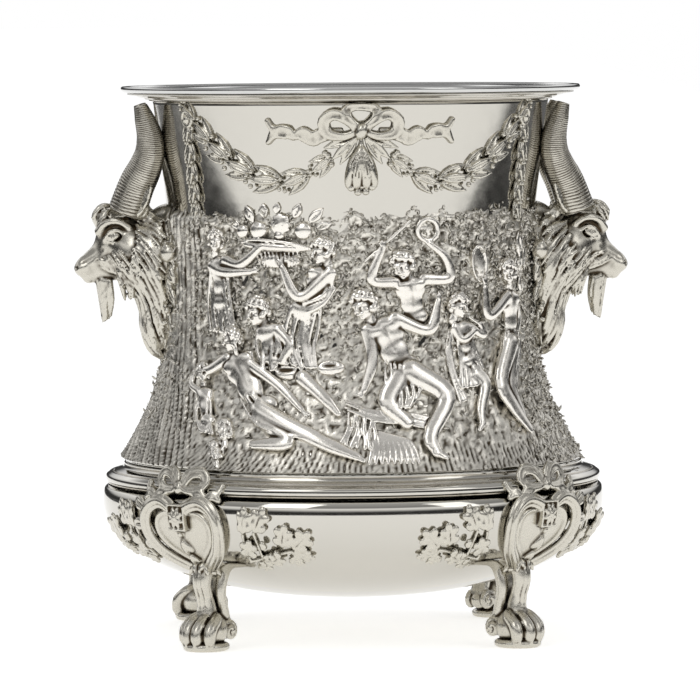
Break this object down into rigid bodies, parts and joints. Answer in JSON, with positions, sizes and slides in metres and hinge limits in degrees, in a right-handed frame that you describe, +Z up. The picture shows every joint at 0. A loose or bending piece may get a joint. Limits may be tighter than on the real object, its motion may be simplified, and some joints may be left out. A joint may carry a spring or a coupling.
{
  "type": "champagne bucket",
  "caption": "Round silver wine cooler on paw feet, with goat-head handles, a figural relief band, leafy garlands and a lift-out liner.",
  "frame": {"origin": "centre of the object on the surface it stands on", "axes": "+Z up along the bucket's axis, -Y the front, +X towards the right-hand goat head"},
  "size_m": [0.2634, 0.238, 0.261],
  "materials": {
    "polished_silver": "polished, with tarnish in the seams",
    "chased_silver": "chased relief, dark in the hollows and bright on the high places",
    "cast_silver": "cast and hand-chased, oxidised in the hollows",
    "liner_silver": "plain spun silver plate, lightly brushed inside",
    "fixing_brass": "plain turned"
  },
  "bodies": {
    "bucket": {"belly_bowl": "polished_silver", "body_shell": "polished_silver", "bud_pendant_back": "cast_silver", "bud_pendant_front": "cast_silver", "cartouche_back_left": "cast_silver", "cartouche_back_right": "cast_silver", "cartouche_front_left": "cast_silver", "cartouche_front_right": "cast_silver", "foot_back_left": "cast_silver", "foot_back_right": "cast_silver", "foot_front_left": "cast_silver", "foot_front_right": "cast_silver", "foot_nut_back_left": "fixing_brass", "foot_nut_back_right": "fixing_brass", "foot_nut_front_left": "fixing_brass", "foot_nut_front_right": "fixing_brass", "frieze_back": "chased_silver", "frieze_front": "chased_silver", "garland_back_left": "cast_silver", "garland_back_right": "cast_silver", "garland_front_left": "cast_silver", "garland_front_right": "cast_silver", "garland_hanger_back_left": "cast_silver", "garland_hanger_back_right": "cast_silver", "garland_hanger_front_left": "cast_silver", "garland_hanger_front_right": "cast_silver", "goat_collar_left": "cast_silver", "goat_collar_right": "cast_silver", "goat_head_left": "cast_silver", "goat_head_right": "cast_silver", "goat_horn_left_back": "cast_silver", "goat_horn_left_front": "cast_silver", "goat_horn_right_back": "cast_silver", "goat_horn_right_front": "cast_silver", "goat_nut_left": "fixing_brass", "goat_nut_right": "fixing_brass", "leaf_drop_back_left": "cast_silver", "leaf_drop_back_right": "cast_silver", "leaf_drop_front_left": "cast_silver", "leaf_drop_front_right": "cast_silver", "oak_spray_back_left_a": "cast_silver", "oak_spray_back_left_b": "cast_silver", "oak_spray_back_right_a": "cast_silver", "oak_spray_back_right_b": "cast_silver", "oak_spray_front_left_a": "cast_silver", "oak_spray_front_left_b": "cast_silver", "oak_spray_front_right_a": "cast_silver", "oak_spray_front_right_b": "cast_silver", "ribbon_bow_back": "cast_silver", "ribbon_bow_front": "cast_silver", "ribbon_crest_back_left": "cast_silver", "ribbon_crest_back_right": "cast_silver", "ribbon_crest_front_left": "cast_silver", "ribbon_crest_front_right": "cast_silver", "rim_moulding": "polished_silver", "waist_moulding": "polished_silver"},
    "liner": {"ice_liner": "liner_silver"}
  },
  "joints": [
    {"name": "liner_lift", "type": "slide", "parent": "bucket", "child": "liner", "axis": [0, 0, 1], "range_m": [0, 0.225]}
  ]
}
